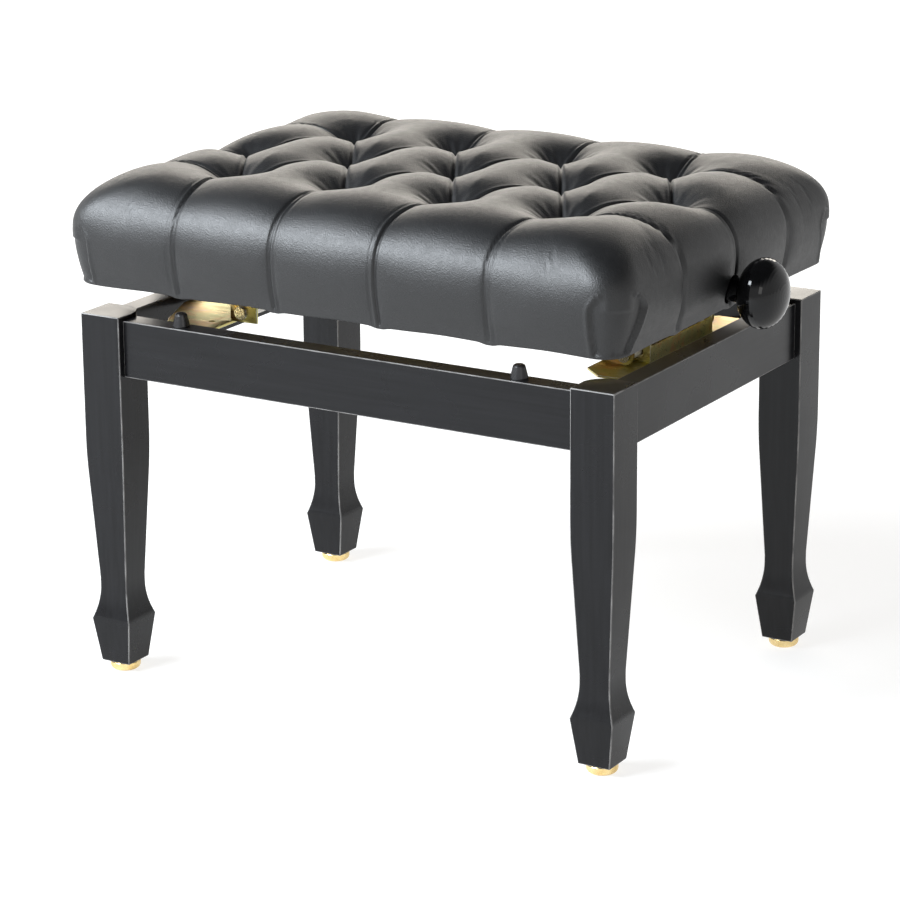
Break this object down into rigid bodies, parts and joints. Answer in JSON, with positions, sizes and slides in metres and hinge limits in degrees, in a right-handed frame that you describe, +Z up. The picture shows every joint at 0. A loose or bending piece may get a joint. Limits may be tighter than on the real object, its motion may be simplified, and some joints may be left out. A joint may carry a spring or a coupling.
{
  "type": "piano bench",
  "caption": "Height-adjustable piano bench: black wooden frame on spade-foot legs, button-tufted black leather seat, crossed-arm lift turned by side knobs.",
  "frame": {"origin": "centre of the footprint, on the floor", "axes": "+X to the right along the seat, +Y towards the back, +Z up"},
  "size_m": [0.68, 0.436, 0.487],
  "materials": {
    "black_lacquer": "satin black lacquer over beech",
    "beech": "bare sanded beech and plywood",
    "plated_fastener": "zinc-plated screws, bolts, nuts and washers",
    "brass": "polished brass glide",
    "black_rubber": "moulded black rubber",
    "yellow_zinc_steel": "yellow zinc-plated pressed steel",
    "bright_steel": "turned steel, lightly oiled",
    "white_nylon": "natural nylon bush",
    "foam": "firm upholstery foam",
    "black_leather": "semi-gloss black leather, fine grain",
    "twine": "waxed upholstery twine",
    "knob_gloss": "high-gloss black knob"
  },
  "bodies": {
    "frame": {"leg_front_left": "black_lacquer", "leg_front_right": "black_lacquer", "leg_back_left": "black_lacquer", "leg_back_right": "black_lacquer", "rail_front": "black_lacquer", "rail_back": "black_lacquer", "rail_left": "black_lacquer", "rail_right": "black_lacquer", "corner_block_front_left": "beech", "corner_block_front_right": "beech", "corner_block_back_left": "beech", "corner_block_back_right": "beech", "corner_block_screws": "plated_fastener", "leg_bolts": "plated_fastener", "leg_bolt_nuts": "plated_fastener", "leg_bolt_washers": "plated_fastener", "glide_front_left": "brass", "glide_front_right": "brass", "glide_back_left": "brass", "glide_back_right": "brass", "stop_front_left": "black_rubber", "stop_front_right": "black_rubber", "stop_back_left": "black_rubber", "stop_back_right": "black_rubber", "base_plate_left": "yellow_zinc_steel", "base_plate_right": "yellow_zinc_steel", "base_plate_screws": "plated_fastener", "base_shaft": "bright_steel", "base_shaft_sleeves": "bright_steel"},
    "lift_arms": {"lift_arm_front": "yellow_zinc_steel", "lift_arm_back": "yellow_zinc_steel", "middle_shaft": "bright_steel", "middle_shaft_washers": "bright_steel"},
    "cross_arms": {"cross_arm_front": "yellow_zinc_steel", "cross_arm_back": "yellow_zinc_steel", "slide_shaft": "bright_steel", "slide_shaft_bushes": "white_nylon"},
    "nut": {"nut_bar": "bright_steel", "nut_bar_bushes": "white_nylon"},
    "seat": {"seat_board": "beech", "seat_rail_front": "beech", "seat_rail_back": "beech", "seat_rail_left": "beech", "seat_rail_right": "beech", "seat_board_screws": "plated_fastener", "seat_bracket_left": "yellow_zinc_steel", "seat_bracket_right": "yellow_zinc_steel", "seat_bracket_screws": "plated_fastener", "pivot_bar": "bright_steel", "screw_bush_left": "white_nylon", "screw_bush_right": "white_nylon", "foam_base": "foam", "cushion": "black_leather", "tuft_buttons": "black_leather", "button_ties": "twine"},
    "screw": {"lead_screw": "bright_steel", "thrust_collars": "bright_steel", "knob_left": "knob_gloss", "knob_right": "knob_gloss"}
  },
  "joints": [
    {"name": "seat_lift", "type": "hinge", "parent": "frame", "child": "lift_arms", "pos_m": [-0.158, 0, 0.348], "axis": [0, -1, 0], "range_deg": [-3.11, 11.7]},
    {"name": "arm_cross", "type": "hinge", "parent": "lift_arms", "child": "cross_arms", "pos_m": [0.032, 0, 0.3735], "axis": [0, -1, 0], "range_deg": [-23.4, 6.22]},
    {"name": "seat_level", "type": "hinge", "parent": "cross_arms", "child": "seat", "pos_m": [-0.158, 0, 0.399], "axis": [0, -1, 0], "range_deg": [-3.11, 11.7]},
    {"name": "nut_level", "type": "hinge", "parent": "lift_arms", "child": "nut", "pos_m": [0.222, 0, 0.399], "axis": [0, -1, 0], "range_deg": [-11.7, 3.11]},
    {"name": "knob_turn", "type": "hinge", "parent": "seat", "child": "screw", "pos_m": [0, 0, 0.399], "axis": [1, 0, 0], "range_deg": [-1872, 497.6]}
  ],
  "couplings": [
    {"joint": "arm_cross", "follows": "seat_lift", "ratio": -2},
    {"joint": "seat_level", "follows": "seat_lift", "ratio": 1},
    {"joint": "nut_level", "follows": "seat_lift", "ratio": -1},
    {"joint": "knob_turn", "follows": "seat_lift", "ratio": -160}
  ]
}
